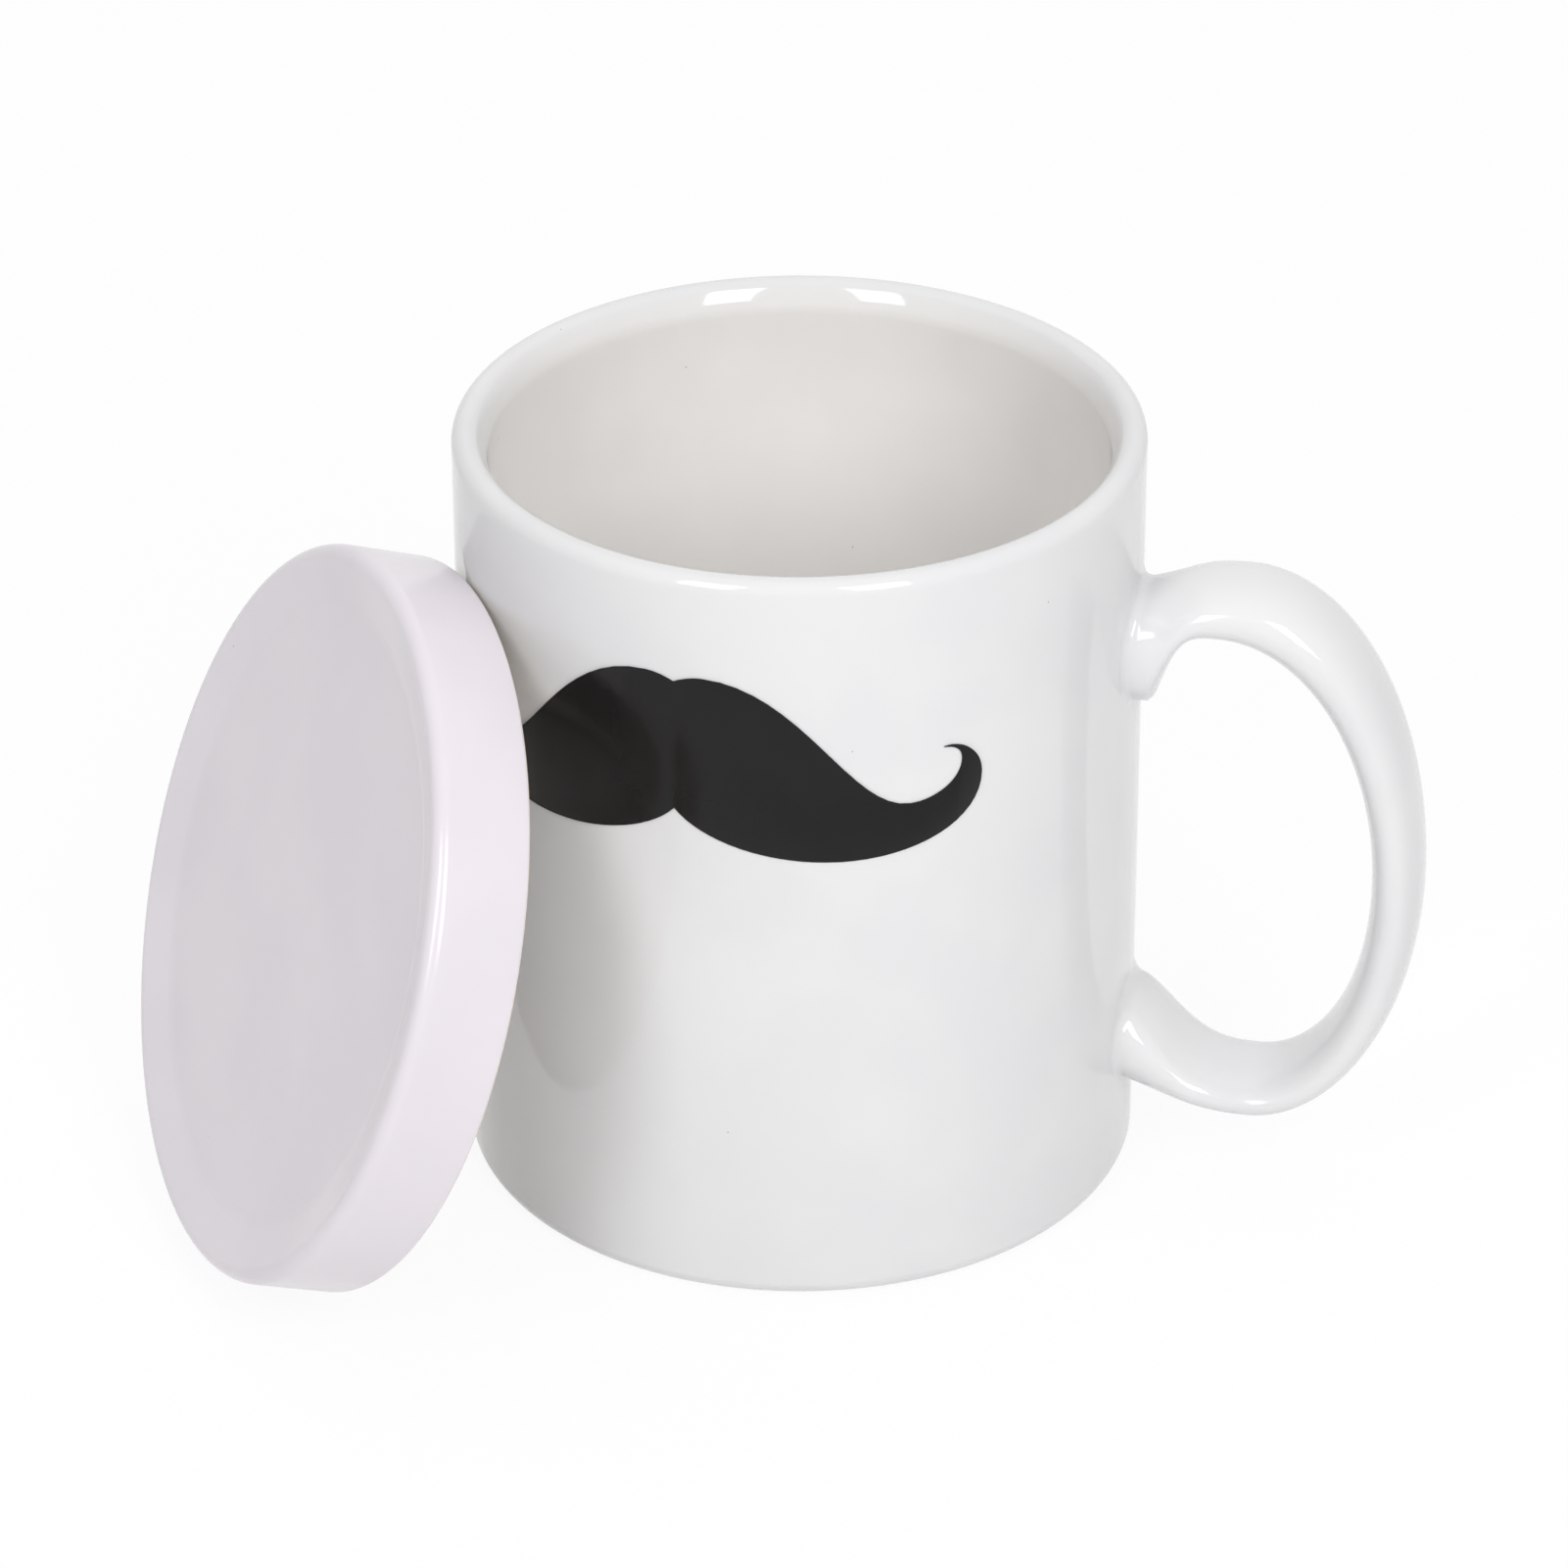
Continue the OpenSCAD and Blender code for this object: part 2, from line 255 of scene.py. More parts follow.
class MUG_PG_stage(bpy.types.PropertyGroup):
    """Table, light and camera"""

    table_size: length("Table size", "Half width of the table", 3.0)
    table_drop: length("Table drop", "Gap under the foot", 0.02 * MM)
    table_white: colour("Table", "White of the table", (0.9, 0.9, 0.9))
    table_glow: factor("Table glow", "Share of plain white in the table as it is seen", 0.92)
    top_light: factor("Top light", "Light from straight above, fading downwards", 0.67)
    top_edge: factor("Top edge", "Height where the top light has faded, as a sine", 0.1)
    back_light: factor("Back light", "Light from high behind the mug, fading to its sides", 0.5)
    back_rise: turn("Back rise", "Height of the light from behind, as an angle", 45)
    back_edge: factor("Back edge", "Where the light from behind has faded, as a cosine", 0.2)
    left_glow: factor("Left glow", "Brightness of the left light panel, in whites", 5.4)
    right_glow: factor("Right glow", "Brightness of the right light panel, in whites", 9.1)
    panel_width: length("Panel width", "Width of the light panels", 0.4)
    panel_height: length("Panel height", "Height of the light panels", 0.8)
    panel_distance: length("Panel distance", "Distance of the light panels", 1.4)
    panel_rise: turn("Panel rise", "Height of the light panels, as an angle", 35)
    left_panel: turn("Left panel", "Place of the left light panel", -19)
    right_panel: turn("Right panel", "Place of the right light panel", 38)
    view_heading: turn("View heading", "Place of the camera round the mug", 11.65)
    view_rise: turn("View rise", "Height of the camera, as an angle", 29.758)
    view_roll: turn("View roll", "Turn of the camera on its axis", -0.149)
    view_distance: length("View distance", "Distance of the camera", 819.673 * MM)
    aim_height: length("Aim height", "Height that the camera points at", 48.244 * MM)
    lens: factor("Lens", "Focal length in millimetres on a 36 mm wide film", 155.35)
    shift_x: factor("Shift X", "Sideways shift of the frame", -0.01045)
    shift_y: factor("Shift Y", "Upward shift of the frame", -0.0042)


class MUG_PG_settings(bpy.types.PropertyGroup):
    """Everything that can be set on the mug and its stage"""

    body: PointerProperty(name="Body", description="Sizes of the mug body", type=MUG_PG_body)
    handle: PointerProperty(name="Handle", description="Sizes of the handle", type=MUG_PG_handle)
    moustache: PointerProperty(
        name="Moustache", description="Sizes of the moustache", type=MUG_PG_moustache
    )
    lid: PointerProperty(name="Lid", description="Sizes of the lid", type=MUG_PG_lid)
    finish: PointerProperty(name="Finish", description="Colours and textures", type=MUG_PG_finish)
    stage: PointerProperty(name="Stage", description="Table, light and camera", type=MUG_PG_stage)


# Material nodes

# Places of the sockets on a Mix node, for plain values and for colours
MIX_FACTOR = 0
MIX_FIRST_VALUE = 2
MIX_SECOND_VALUE = 3
MIX_VALUE = 0
MIX_FIRST = 6
MIX_SECOND = 7
MIX_RESULT = 2

# Middle of a noise, and the levels between which it turns softly or firmly
NOISE_MIDDLE = 0.5
SOFT_LEVELS = (0.3, 0.7)
FIRM_LEVELS = (0.35, 0.65)
# Layers of detail in a noise, in the grain of the glaze and in the ink
PLAIN_DETAIL = 2.0
GRAIN_DETAIL = 4.0
INK_WAVE_DETAIL = 4.0
INK_GRAIN_DETAIL = 3.0

# Least and most roughness, as shares of the roughness that is set
GLAZE_ROUGH_SHARES = (0.8, 1.25)
INK_ROUGH_SHARES = (0.85, 1.15)
# Height of the fine ripple, as a share of the slow waves in the glaze
GLAZE_RIPPLE_SHARE = 0.03
INK_RIPPLE_SHARE = 0.02
# Share of the mottling that is taken from the blue
BLUE_SHARE = 0.8
# Most glaze that stays on the grain of the wiped clay
GRAIN_SHARE = 0.25
# Width of a speck's full colour, as a share of the speck
SPECK_CORE_SHARE = 0.5
# Height where the glaze has ended, as a share of the height where it starts to thin
GLAZE_EDGE_SHARE = 0.6
# Share of the lid's ring over which the hollow's glaze runs out
WIPED_RING_SHARE = 0.3


def add_node(tree, kind, inputs, **settings):
    """Adds a node and feeds its inputs from values or from other nodes' sockets."""
    node = tree.nodes.new(kind)
    for name, value in settings.items():
        setattr(node, name, value)
    for key, value in inputs.items():
        if isinstance(value, bpy.types.NodeSocket):
            tree.links.new(value, node.inputs[key])
        else:
            node.inputs[key].default_value = value
    return node


def math_node(tree, operation, first, second):
    """Result of a sum on two values or sockets."""
    node = add_node(tree, "ShaderNodeMath", {0: first, 1: second}, operation=operation)
    return node.outputs["Value"]


def mix_values(tree, share, first, second):
    """Value between two others, by a share."""
    inputs = {MIX_FACTOR: share, MIX_FIRST_VALUE: first, MIX_SECOND_VALUE: second}
    node = add_node(tree, "ShaderNodeMix", inputs, data_type="FLOAT")
    return node.outputs[MIX_VALUE]


def mix_colours(tree, share, first, second, blend_type="MIX"):
    """Colour between two others, by a share."""
    inputs = {MIX_FACTOR: share, MIX_FIRST: first, MIX_SECOND: second}
    node = add_node(tree, "ShaderNodeMix", inputs, data_type="RGBA", blend_type=blend_type)
    return node.outputs[MIX_RESULT]


def ramp(tree, value, start, end, low=0.0, high=1.0):
    """Smooth change from low to high as value goes from start to end."""
    inputs = {"Value": value, "From Min": start, "From Max": end, "To Min": low, "To Max": high}
    node = add_node(tree, "ShaderNodeMapRange", inputs, interpolation_type="SMOOTHSTEP")
    return node.outputs["Result"]


def noise(tree, coords, width, detail=PLAIN_DETAIL):
    """Noise whose features are about this wide."""
    inputs = {"Vector": coords, "Scale": 1 / width, "Detail": detail}
    return add_node(tree, "ShaderNodeTexNoise", inputs).outputs["Fac"]


def uneven(tree, level, middle, shares):
    """Varies a value with a noise, between two shares of it."""
    low, high = (share * middle for share in shares)
    return ramp(tree, level, *SOFT_LEVELS, low, high)


def rgba(value):
    """A colour that covers fully."""
    return (*value, 1.0)


def new_material(name):
    """An empty material with its surface shader."""
    material = bpy.data.materials.new(name)
    material.use_nodes = True
    tree = material.node_tree
    tree.nodes.clear()
    shader = tree.nodes.new("ShaderNodeBsdfPrincipled")
    output = tree.nodes.new("ShaderNodeOutputMaterial")
    tree.links.new(shader.outputs["BSDF"], output.inputs["Surface"])
    return material, tree, shader


def distance_from_axis(tree, coords):
    """Distance of a point from the local Z axis."""
    flat = add_node(
        tree, "ShaderNodeVectorMath", {0: coords, 1: (1, 1, 0)}, operation="MULTIPLY"
    )
    far = add_node(tree, "ShaderNodeVectorMath", {0: flat.outputs["Vector"]}, operation="LENGTH")
    return far.outputs["Value"]


def height_along_axis(tree, coords):
    """Height of a point along the local Z axis."""
    return add_node(tree, "ShaderNodeSeparateXYZ", {"Vector": coords}).outputs["Z"]


def below_glaze(tree, height, coords, finish):
    """1 below the glaze's uneven edge, where the clay is bare."""
    line = finish.glaze_line
    sway = math_node(tree, "SUBTRACT", noise(tree, coords, finish.sway), NOISE_MIDDLE)
    edge = math_node(tree, "ADD", height, math_node(tree, "MULTIPLY", sway, line))
    return ramp(tree, edge, line, GLAZE_EDGE_SHARE * line)


def raise_surface(tree, shader, relief, height):
    """Ripples a surface by a relief of this height."""
    inputs = {"Height": relief, "Strength": 1.0, "Distance": height}
    bump = add_node(tree, "ShaderNodeBump", inputs)
    tree.links.new(bump.outputs["Normal"], shader.inputs["Normal"])


def finish_glaze(tree, shader, coords, white, bare, gloss, finish):
    """Glossy white glaze with slow mottling and iron specks, off the bare clay."""
    pooled = 1 - finish.depth_share
    pooled_blue = 1 - BLUE_SHARE * finish.depth_share
    deep = mix_colours(tree, 1.0, white, rgba((pooled, pooled, pooled_blue)), "MULTIPLY")
    slow = noise(tree, coords, finish.wave)
    mottled = mix_colours(tree, ramp(tree, slow, *FIRM_LEVELS), white, deep)

    cells = add_node(
        tree, "ShaderNodeTexVoronoi", {"Vector": coords, "Scale": 1 / finish.speck_gap}
    )
    reach = finish.speck_size / finish.speck_gap
    speck = ramp(tree, cells.outputs["Distance"], reach, SPECK_CORE_SHARE * reach)
    specked = mix_colours(tree, speck, mottled, rgba(finish.speck))

    grain = noise(tree, coords, finish.peel, GRAIN_DETAIL)
    sand = ramp(tree, grain, *SOFT_LEVELS, 0, GRAIN_SHARE)
    sandy = mix_colours(tree, sand, rgba(finish.clay), specked)
    surface = mix_colours(tree, bare, specked, sandy)
    tree.links.new(surface, shader.inputs["Base Color"])

    patches = uneven(tree, slow, gloss, GLAZE_ROUGH_SHARES)
    rough = mix_values(tree, bare, patches, finish.dull)
    tree.links.new(rough, shader.inputs["Roughness"])

    fine = math_node(tree, "MULTIPLY", grain, GLAZE_RIPPLE_SHARE)
    relief = math_node(tree, "ADD", slow, fine)
    raise_surface(tree, shader, relief, finish.ripple)
    shader.inputs["IOR"].default_value = finish.glaze_bend


def mug_glaze(settings):
    """White glaze, warmer inside the mug and brightened there with painted bounce light, wiped off
    the flat of the foot ring.
    """
    made = bpy.data.materials.get("mug_white_glaze")
    if made:
        return made
    body, finish = settings.body, settings.finish
    material, tree, shader = new_material("mug_white_glaze")
    coords = tree.nodes.new("ShaderNodeTexCoord").outputs["Object"]

    lip_middle = body.diameter / 2 - body.wall / 2
    radius = distance_from_axis(tree, coords)
    within = ramp(tree, radius, lip_middle, lip_middle - body.wall)
    height = height_along_axis(tree, coords)
    over_floor = ramp(tree, height, body.foot_depth, body.foot_depth + body.floor)
    # Painted bounce light: inside the wall and above the floor the glaze takes the brighter inside
    # white
    inside = math_node(tree, "MULTIPLY", within, over_floor)
    white = mix_colours(tree, inside, rgba(finish.outside), rgba(finish.inside))

    bare_height = below_glaze(tree, height, coords, finish)
    foot_radius = body.diameter / 2 - body.base_round - body.foot_width
    on_foot = ramp(tree, radius, foot_radius - body.foot_depth, foot_radius)
    bare = math_node(tree, "MULTIPLY", bare_height, on_foot)
    finish_glaze(tree, shader, coords, white, bare, finish.gloss, finish)
    return material


def lid_glaze(settings, place):
    """Faintly lilac glaze, warmer and brighter in the hollow with painted bounce light, wiped off
    the seat and the ring under it.
    """
    lid, body, finish = settings.lid, settings.body, settings.finish
    material, tree, shader = new_material("lid_white_glaze")
    coords = tree.nodes.new("ShaderNodeTexCoord").outputs["Object"]
    inputs = {
        "Vector": coords,
        "Location": place.translation,
        "Rotation": place.to_euler(),
    }
    own = add_node(tree, "ShaderNodeMapping", inputs, vector_type="TEXTURE").outputs["Vector"]

    height = height_along_axis(tree, own)
    radius = distance_from_axis(tree, own)
    bare_height = below_glaze(tree, height, coords, finish)
    hollow = body.diameter / 2 - body.wall - lid.ring_room - lid.ring_width
    on_seat = ramp(tree, radius, hollow, hollow + WIPED_RING_SHARE * lid.ring_width)
    bare = math_node(tree, "MULTIPLY", bare_height, on_seat)
    # Painted bounce light: the hollow under the web takes the brighter inside white, which throws
    # more light onto the mug's wall
    hollow_top = lid.height - lid.dish_depth - lid.web
    under = ramp(tree, height, hollow_top + lid.web / 2, hollow_top)
    in_hollow = ramp(tree, radius, hollow + lid.ring_width, hollow)
    within = math_node(tree, "MULTIPLY", under, in_hollow)
    white = mix_colours(tree, within, rgba(finish.lid), rgba(finish.inside))
    finish_glaze(tree, shader, coords, white, bare, finish.lid_gloss, finish)
    return material


def moustache_ink(settings):
    """Near-black fired ink, a little browner where it lies thin."""
    finish = settings.finish
    material, tree, shader = new_material("moustache_ink")
    coords = tree.nodes.new("ShaderNodeTexCoord").outputs["Object"]
    slow = noise(tree, coords, finish.wave, INK_WAVE_DETAIL)
    thin = ramp(tree, slow, *FIRM_LEVELS)
    tone = mix_colours(tree, thin, rgba(finish.ink), rgba(finish.ink_thin))
    tree.links.new(tone, shader.inputs["Base Color"])
    grain = noise(tree, coords, finish.peel, INK_GRAIN_DETAIL)
    rough = uneven(tree, grain, finish.ink_gloss, INK_ROUGH_SHARES)
    tree.links.new(rough, shader.inputs["Roughness"])
    raise_surface(tree, shader, grain, INK_RIPPLE_SHARE * finish.ripple)
    shader.inputs["IOR"].default_value = finish.glaze_bend
    shader.inputs["Specular IOR Level"].default_value = finish.ink_shine
    return material


# Mesh tools

def turned(corners):
    """A body turned about Z from a profile of (radius, height, rounding) corners."""
    bm = bmesh.new()
    verts = [bm.verts.new((radius, 0, height)) for radius, height, _ in corners]
    for here, there in zip(verts, verts[1:]):
        bm.edges.new((here, there))
    for vert, (_, _, rounding) in zip(verts, corners):
        if rounding:
            bmesh.ops.bevel(
                bm,
                geom=[vert],
                offset=rounding,
                offset_type="OFFSET",
                affect="VERTICES",
                segments=ROUND_STEPS,
                profile=0.5,
                material=-1,
            )
    for edge in bm.edges[:]:
        cuts = int(edge.calc_length() / LONGEST_SPAN)
        if cuts:
            bmesh.ops.subdivide_edges(bm, edges=[edge], cuts=cuts)
    bmesh.ops.spin(
        bm,
        geom=bm.verts[:] + bm.edges[:],
        cent=(0, 0, 0),
        axis=(0, 0, 1),
        dvec=(0, 0, 0),
        angle=2 * math.pi,
        steps=TURN_STEPS,
        use_merge=True,
    )
    return bm


def close_up(bm, name):
    """Merges doubled points, turns the faces outwards and makes sure that nothing is open."""
    bmesh.ops.remove_doubles(bm, verts=bm.verts, dist=MERGE_DISTANCE)
    bmesh.ops.recalc_face_normals(bm, faces=bm.faces)
    if not all(edge.is_manifold for edge in bm.edges):
        raise RuntimeError(f"{name} isn't closed")


def add_piece(bm, name, material, body, node):
    """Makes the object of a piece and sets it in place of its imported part."""
    mesh = bpy.data.meshes.new(name)
    bm.to_mesh(mesh)
    bm.free()
    mesh.shade_smooth()
    mesh.set_sharp_from_angle(angle=SHARP_ANGLE)
    mesh.materials.append(material)
    piece = bpy.data.objects.new(name, mesh)
    bpy.context.scene.collection.objects.link(piece)
    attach(piece, body)
    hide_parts(node)
    return piece


def smooth_step(share):
    """A share that starts and ends gently."""
    return share * share * (3 - 2 * share)


def blend(first, second, share):
    """Value between two others, by a share."""
    return first + (second - first) * share


# Mug body

class MUG_OT_build_body(bpy.types.Operator):
    """Turns the mug body from its profile, with its foot ring and its rounded lip"""

    bl_idname = "mug.build_body"
    bl_label = "Build Mug Body"

    def execute(self, context):
        settings = context.scene.moustache_mug
        size = settings.body
        outer = size.diameter / 2
        mouth = outer - size.wall
        foot = outer - size.base_round - size.foot_width
        floor = size.foot_depth + size.floor
        lip = size.lip_width / 2
        # The bend below the lip has the radius that meets the lip's roll at the mouth's slope
        steep = math.cos(size.mouth_slope)
        mouth_round = (size.wall - lip * (1 + steep)) / (1 - steep)
        mouth_run = mouth_round * math.tan(size.mouth_slope / 2)
        lip_run = lip * math.tan((math.pi / 2 - size.mouth_slope) / 2)
        lip_edge = outer - lip - lip_run
        mouth_drop = (lip_edge - mouth) / math.tan(size.mouth_slope)
        bm = turned((
            (0, size.foot_depth, 0),
            (foot, size.foot_depth, size.foot_depth / 2),
            (foot, 0, size.foot_depth / 2),
            (outer, 0, size.base_round),
            (outer, size.height, lip),
            (lip_edge, size.height, lip_run),
            (mouth, size.height - mouth_drop, mouth_run),
            (mouth, floor, size.floor_corner),
            (0, floor, 0),
        ))
        close_up(bm, "The mug body")
        add_piece(bm, "mug_body_glazed", mug_glaze(settings), "mug", "mug_body")
        return {"FINISHED"}


# Handle

def loop_line(size, wall, s, reach, inset, crest, spread):
    """Point (x, z) of a line of the loop, with s from -1 at the lower root to 1 at the upper.

    It is a quarter of an ellipse out to the crest, then it runs straight back to the wall
    while spread moves it up or down.
    """
    share = abs(s)
    # Inside the wall, also at the root's sides, where the wall has curved away
    behind = wall - size.root_width**2 / (8 * wall) - size.root_sink
    bend = math.pi / 2 * min(share / BEND_SHARE, 1)
    x = wall + inset + (reach - inset) * math.cos(bend)
    z = blend(size.grip_height, crest, math.sin(bend))
    if share > BEND_SHARE:
        x = blend(wall + inset, behind, (share - BEND_SHARE) / (1 - BEND_SHARE))
    root = min(max((wall + inset - x) / inset, 0), 1)
    return Vector((x, z + spread(root))), root


def strap_lines(size, wall, s):
    """Inner and outer point of the strap at s, and half of its width."""
    over = s > 0
    side = 1 if over else -1

    def drop(share):
        """Fall of the outer line on its way back to the wall."""
        return -side * size.root_drop * share * share

    def flare(share):
        """Spread of the inner line on its way back to the wall."""
        if over:
            spread = min(1, TOP_ROOT_RATE * share**TOP_ROOT_POWER)
            return -side * (size.top_flare * smooth_step(spread))
        return -side * (size.low_flare * smooth_step(share**LOW_ROOT_POWER))

    inset = size.top_inset if over else size.low_inset
    crest = size.top if over else size.low
    outer, root = loop_line(size, wall, s, size.reach, inset, crest, drop)

    gap_reach = size.reach - size.grip_depth
    gap_inset = size.gap_top_inset if over else size.gap_low_inset
    gap_crest = size.top - size.top_depth if over else size.low + size.low_depth
    inner, _ = loop_line(size, wall, s, gap_reach, gap_inset, gap_crest, flare)
    return inner, outer, blend(size.width, size.root_width, smooth_step(root)) / 2


def strap_point(lines, p, q):
    """Point of a section at p from inner (-1) to outer (1) and q from side to side."""
    inner, outer, half_width = lines
    at = inner.lerp(outer, (p + 1) / 2)
    return Vector((at.x, half_width * q, at.y))


def squared(value):
    """Draws a circle's coordinate out towards a square."""
    return math.copysign(abs(value) ** (2 / STRAP_POWER), value)


def on_wall(wall, y, z):
    """Point of the round wall on the handle's side, at this place across and height."""
    return Vector((math.sqrt(wall * wall - y * y), y, z))


class RootLine:
    """One line of the strap from a crest back to the wall, with its fillet there."""

    def __init__(self, size, wall, side, p, q):
        self.size, self.wall, self.side, self.p, self.q = size, wall, side, p, q
        start = self.at(0).x
        end = self.at(1)
        middle = strap_point(strap_lines(size, wall, side), 0, 0)
        # Where the line meets the wall, and where its fillet leaves the line and ends on the wall
        meets = on_wall(wall, end.y, end.z).x
        self.meeting = (start - meets) / (start - end.x)
        hit = self.at(self.meeting)
        self.corner = on_wall(wall, hit.y, hit.z)
        self.fillet = blend(size.under_fillet, size.upper_fillet, (side * p + 1) / 2)
        self.leaving = self.meeting - self.fillet / (start - end.x)
        out = Vector((0, hit.y - middle.y, hit.z - middle.z)).normalized() * self.fillet
        self.foot = on_wall(wall, hit.y + out.y, hit.z + out.z)

    def at(self, share):
        """Point of the line, with share from 0 at the crest to 1 at its end."""
        s = self.side * blend(BEND_SHARE, 1, share)
        return strap_point(strap_lines(self.size, self.wall, s), self.p, self.q)

    def rings(self):
        """Points of the line from just behind the crest to its end inside the wall."""
        run = [self.at(self.leaving * k / ROOT_RINGS) for k in range(1, ROOT_RINGS + 1)]
        leaving = run[-1]
        for k in range(1, FILLET_RINGS + 1):
            t = k / FILLET_RINGS
            run.append(leaving.lerp(self.corner, t).lerp(self.corner.lerp(self.foot, t), t))
        sunk = 1 - self.size.root_sink / self.wall
        run.append(Vector((self.foot.x * sunk, self.foot.y * sunk, self.foot.z)))
        return run


class MUG_OT_build_handle(bpy.types.Operator):
    """Lofts the handle's strap through its loop and fillets both roots to the wall"""

    bl_idname = "mug.build_handle"
    bl_label = "Build Handle"

    def execute(self, context):
        settings = context.scene.moustache_mug
        size = settings.handle
        wall = settings.body.diameter / 2
        angles = [2 * math.pi * j / STRAP_SIDES for j in range(STRAP_SIDES)]
        around = [(squared(math.cos(a)), squared(math.sin(a))) for a in angles]

        low, high = (
            list(zip(*[RootLine(size, wall, side, p, q).rings() for p, q in around]))
            for side in (-1, 1)
        )
        loop = []
        for i in range(LOOP_RINGS + 1):
            lines = strap_lines(size, wall, BEND_SHARE * (2 * i / LOOP_RINGS - 1))
            loop.append([strap_point(lines, p, q) for p, q in around])

        bm = bmesh.new()
        before = None
        for points in [*reversed(low), *loop, *high]:
            ring = bmesh.ops.create_circle(bm, segments=STRAP_SIDES, radius=1)["verts"]
            for vert, point in zip(ring, points):
                vert.co = point
            edges = list({edge for vert in ring for edge in vert.link_edges})
            if before:
                bmesh.ops.bridge_loops(bm, edges=before + edges)
            before = edges
        bmesh.ops.holes_fill(bm, edges=[edge for edge in bm.edges if edge.is_boundary])
        close_up(bm, "The handle")
        add_piece(bm, "mug_handle_glazed", mug_glaze(settings), "mug", "mug_handle")
        return {"FINISHED"}


# Moustache

def moustache_outline(size):
    """Points (along the wall, up) of the moustache, round from its upper cleft."""
    scale = Vector((size.width / 2, size.height, 0))
    wing = []
    start = Vector((*CLEFT_SHARE, 0))
    for row in WING_SHARES:
        first, second, end = (Vector((*share, 0)) for share in row)
        wing += interpolate_bezier(start, first, second, end, CURVE_STEPS + 1)[1:]
        start = end
    right = [point * scale for point in wing]
    left = [Vector((-point.x, point.y, 0)) for point in reversed(right[:-1])]
    return [Vector((*CLEFT_SHARE, 0)) * scale, *right, *left]


class MUG_OT_build_moustache(bpy.types.Operator):
    """Lays the moustache round the wall as a thin layer with a rounded edge"""

    bl_idname = "mug.build_moustache"
    bl_label = "Build Moustache"

    def execute(self, context):
        settings = context.scene.moustache_mug
        size = settings.moustache
        wall = settings.body.diameter / 2

        bm = bmesh.new()
        outline = moustache_outline(size)
        bm.faces.new([bm.verts.new((at.x, 0, size.low_edge + at.y)) for at in outline])
        strips = int(size.width / STRIP_WIDTH)
        for i in range(1, strips):
            bmesh.ops.bisect_plane(
                bm,
                geom=bm.verts[:] + bm.edges[:] + bm.faces[:],
                plane_co=(size.width * (i / strips - 0.5), 0, 0),
                plane_no=(1, 0, 0),
                dist=MERGE_DISTANCE,
            )
        for vert in bm.verts:
            facing = size.heading + vert.co.x / wall
            vert.co = (wall * math.cos(facing), wall * math.sin(facing), vert.co.z)
        raised = bmesh.ops.extrude_face_region(bm, geom=bm.faces[:])["geom"]
        swell = 1 + size.layer / wall
        top = [item for item in raised if isinstance(item, bmesh.types.BMVert)]
        bmesh.ops.scale(bm, vec=(swell, swell, 1), verts=top)
        close_up(bm, "The moustache")
        rim = [edge for edge in bm.edges if edge.calc_face_angle() > RIM_ANGLE]
        high = [edge for edge in rim if all(vert in top for vert in edge.verts)]
        bmesh.ops.bevel(
            bm,
            geom=high,
            offset=size.edge_round,
            affect="EDGES",
            segments=EDGE_STEPS,
            profile=0.5,
            material=-1,
            clamp_overlap=True,
        )
        ink = moustache_ink(settings)
        add_piece(bm, "moustache_fired", ink, "mug", "moustache_print")
        return {"FINISHED"}


# Lid

def lid_profile(size, body):
    """Corners of the lid from the middle of its dish round to the middle of its hollow."""
    outer = body.diameter / 2 + size.overhang
    crest_run = size.crest_round * math.tan(size.dish_slope / 2)
    dish_run = size.dish_round * math.tan(size.dish_slope / 2)
    crest = outer - size.rim_round - crest_run
    dish = crest - size.dish_depth / math.tan(size.dish_slope)
    dish_floor = size.height - size.dish_depth
    ring = body.diameter / 2 - body.wall - size.ring_room
    hollow = ring - size.ring_width
    hollow_top = dish_floor - size.web
    half_ring = size.ring_width / 2
    return (
        (0, dish_floor, 0),
        (dish, dish_floor, dish_run),
        (crest, size.height, crest_run),
        (outer, size.height, size.rim_round),
        (outer, 0, size.seat_round),
        (ring, 0, size.ring_fillet),
        (ring, -size.ring_height, half_ring),
        (hollow, -size.ring_height, half_ring),
        (hollow, hollow_top, size.hollow_corner),
        (0, hollow_top, 0),
    )


class MUG_OT_build_lid(bpy.types.Operator):
    """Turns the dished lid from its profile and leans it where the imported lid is"""

    bl_idname = "mug.build_lid"
    bl_label = "Build Lid"

    def execute(self, context):
        settings = context.scene.moustache_mug
        size = settings.lid
        bm = turned(lid_profile(size, settings.body))
        close_up(bm, "The lid")
        upright = math.pi / 2
        lean = Matrix.Rotation(size.heading, 4, "Z") @ Matrix.Rotation(upright - size.tilt, 4, "Y")
        bmesh.ops.transform(bm, matrix=lean, verts=bm.verts)
        places = [vert.co for vert in bm.verts]
        low = Vector([min(axis) for axis in zip(*places)])
        high = Vector([max(axis) for axis in zip(*places)])
        shift = Matrix.Translation((LID_LOW + LID_HIGH - low - high) / 2)
        bmesh.ops.transform(bm, matrix=shift, verts=bm.verts)
        glaze = lid_glaze(settings, shift @ lean)
        add_piece(bm, "lid_glazed", glaze, "lid", "lid")
        return {"FINISHED"}


# Stage

PLAIN_WHITE = (1, 1, 1, 1)


def seen_directly(tree):
    """1 for rays from the camera, off gloss or through glass, and 0 for rays that light."""
    path = tree.nodes.new("ShaderNodeLightPath")
    shown = math_node(
        tree, "MAXIMUM", path.outputs["Is Camera Ray"], path.outputs["Is Glossy Ray"]
    )
    return math_node(tree, "MAXIMUM", shown, path.outputs["Is Transmission Ray"])


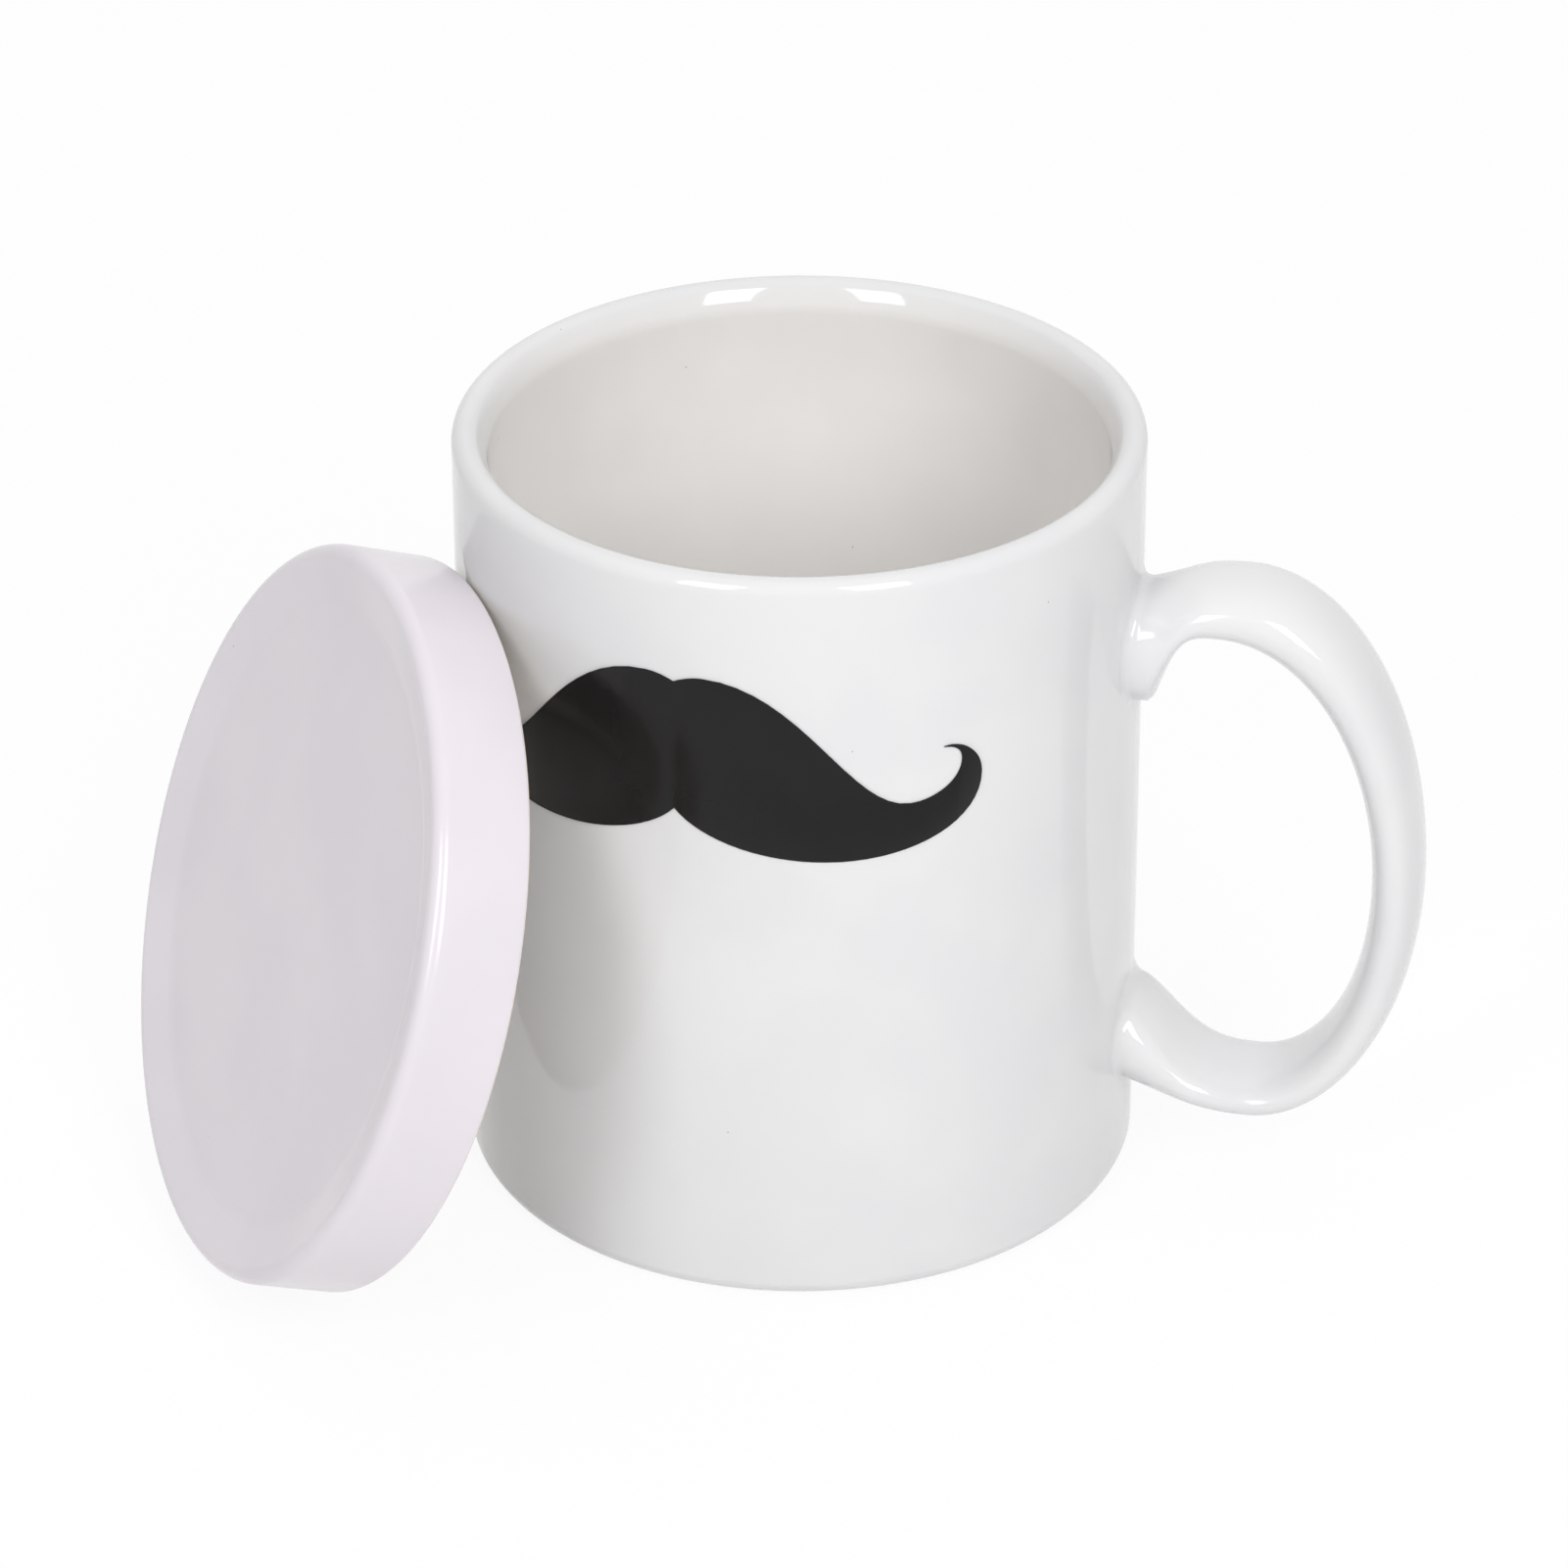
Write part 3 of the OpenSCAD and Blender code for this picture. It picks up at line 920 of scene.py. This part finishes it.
def table_material(stage):
    """White table that looks nearly plain white and still keeps a soft shadow."""
    material = bpy.data.materials.new("white_table")
    material.use_nodes = True
    tree = material.node_tree
    tree.nodes.clear()
    paper = add_node(tree, "ShaderNodeBsdfDiffuse", {"Color": rgba(stage.table_white)})
    plain = add_node(tree, "ShaderNodeEmission", {"Color": PLAIN_WHITE, "Strength": 1.0})
    share = math_node(tree, "MULTIPLY", seen_directly(tree), stage.table_glow)
    mixed = add_node(
        tree,
        "ShaderNodeMixShader",
        {0: share, 1: paper.outputs["BSDF"], 2: plain.outputs["Emission"]},
    )
    add_node(tree, "ShaderNodeOutputMaterial", {"Surface": mixed.outputs["Shader"]})
    return material


def add_table(stage):
    """Sets the table just under the foot."""
    bm = bmesh.new()
    bmesh.ops.create_grid(
        bm,
        x_segments=1,
        y_segments=1,
        size=stage.table_size,
        matrix=Matrix.Translation((0, 0, -stage.table_drop)),
    )
    mesh = bpy.data.meshes.new("white_table")
    bm.to_mesh(mesh)
    bm.free()
    mesh.materials.append(table_material(stage))
    table = bpy.data.objects.new("white_table", mesh)
    bpy.context.scene.collection.objects.link(table)


def seen_from(heading, rise):
    """Direction out to a place round the mug, with heading 0 in front of it."""
    flat = math.cos(rise)
    return Vector((math.sin(heading) * flat, -math.cos(heading) * flat, math.sin(rise)))


def place_facing(thing, aim, out, distance, roll=0.0):
    """Sets a lamp or camera at a distance from aim, looking at it."""
    aimed = out.to_track_quat("Z", "Y").to_matrix().to_4x4()
    turned_on_axis = aimed @ Matrix.Rotation(roll, 4, "Z")
    thing.matrix_world = Matrix.Translation(aim + out * distance) @ turned_on_axis


def add_surroundings(stage):
    """White tent: plain white where it is seen, softly graded where it lights."""
    world = bpy.data.worlds.new("white_tent")
    bpy.context.scene.world = world
    world.use_nodes = True
    tree = world.node_tree
    tree.nodes.clear()
    facing = tree.nodes.new("ShaderNodeTexCoord").outputs["Generated"]
    behind = seen_from(stage.view_heading + math.pi, stage.back_rise)
    along = add_node(
        tree, "ShaderNodeVectorMath", {0: facing, 1: behind}, operation="DOT_PRODUCT"
    ).outputs["Value"]
    from_behind = ramp(tree, along, stage.back_edge, 1, 0, stage.back_light)
    upward = height_along_axis(tree, facing)
    from_top = ramp(tree, upward, stage.top_edge, 1, 0, stage.top_light)
    level = math_node(tree, "ADD", from_behind, from_top)
    light = add_node(tree, "ShaderNodeBackground", {"Color": PLAIN_WHITE, "Strength": level})
    plain = add_node(tree, "ShaderNodeBackground", {"Color": PLAIN_WHITE, "Strength": 1.0})
    mixed = add_node(
        tree,
        "ShaderNodeMixShader",
        {
            0: seen_directly(tree),
            1: light.outputs["Background"],
            2: plain.outputs["Background"],
        },
    )
    add_node(tree, "ShaderNodeOutputWorld", {"Surface": mixed.outputs["Shader"]})


def add_panel(name, heading, glow, stage, aim):
    """Adds a soft rectangular lamp that faces the mug."""
    lamp = bpy.data.lights.new(name, "AREA")
    lamp.shape = "RECTANGLE"
    lamp.size = stage.panel_width
    lamp.size_y = stage.panel_height
    lamp.energy = glow * math.pi * stage.panel_width * stage.panel_height
    panel = bpy.data.objects.new(name, lamp)
    bpy.context.scene.collection.objects.link(panel)
    place_facing(panel, aim, seen_from(heading, stage.panel_rise), stage.panel_distance)


def add_camera(stage, aim):
    """Adds the camera that the mug is seen through."""
    lens = bpy.data.cameras.new("product_camera")
    lens.lens = stage.lens
    lens.sensor_width = FILM_WIDTH
    lens.shift_x = stage.shift_x
    lens.shift_y = stage.shift_y
    camera = bpy.data.objects.new("product_camera", lens)
    bpy.context.scene.collection.objects.link(camera)
    out = seen_from(stage.view_heading, stage.view_rise)
    place_facing(camera, aim, out, stage.view_distance, stage.view_roll)
    bpy.context.scene.camera = camera


class MUG_OT_build_stage(bpy.types.Operator):
    """Sets the white table, the surroundings, two light panels and the camera"""

    bl_idname = "mug.build_stage"
    bl_label = "Build Stage"

    def execute(self, context):
        stage = context.scene.moustache_mug.stage
        aim = Vector((0, 0, stage.aim_height))
        add_table(stage)
        add_surroundings(stage)
        add_panel("left_panel", stage.left_panel, stage.left_glow, stage, aim)
        add_panel("right_panel", stage.right_panel, stage.right_glow, stage, aim)
        add_camera(stage, aim)
        context.scene.view_settings.view_transform = "Standard"
        return {"FINISHED"}


def list_values(box, group):
    """Shows all that can be set in a group."""
    for name in group.bl_rna.properties.keys():
        if name not in {"rna_type", "name"}:
            box.prop(group, name)


class MUG_PT_build(bpy.types.Panel):
    """Lists the steps that build the mug, with their sizes, and then the finish"""

    bl_idname = "MUG_PT_build"
    bl_label = "Moustache Mug"
    bl_space_type = "VIEW_3D"
    bl_region_type = "UI"
    bl_category = "Mug"

    def draw(self, context):
        settings = context.scene.moustache_mug
        for step, group in STEPS:
            box = self.layout.box()
            box.operator(step.bl_idname)
            list_values(box, getattr(settings, group))
        list_values(self.layout.box(), settings.finish)


STEPS = (
    (MUG_OT_build_body, "body"),
    (MUG_OT_build_handle, "handle"),
    (MUG_OT_build_moustache, "moustache"),
    (MUG_OT_build_lid, "lid"),
    (MUG_OT_build_stage, "stage"),
)
CLASSES = (
    MUG_PG_body,
    MUG_PG_handle,
    MUG_PG_moustache,
    MUG_PG_lid,
    MUG_PG_finish,
    MUG_PG_stage,
    MUG_PG_settings,
    *(step for step, _ in STEPS),
    MUG_PT_build,
)


def register():
    for cls in CLASSES:
        bpy.utils.register_class(cls)
    bpy.types.Scene.moustache_mug = PointerProperty(type=MUG_PG_settings)


def unregister():
    del bpy.types.Scene.moustache_mug
    for cls in reversed(CLASSES):
        bpy.utils.unregister_class(cls)


def main():
    """Builds the mug on its stage."""
    register()
    bpy.ops.mug.build_body()
    bpy.ops.mug.build_handle()
    bpy.ops.mug.build_moustache()
    bpy.ops.mug.build_lid()
    bpy.ops.mug.build_stage()


if __name__ == "__main__":
    main()
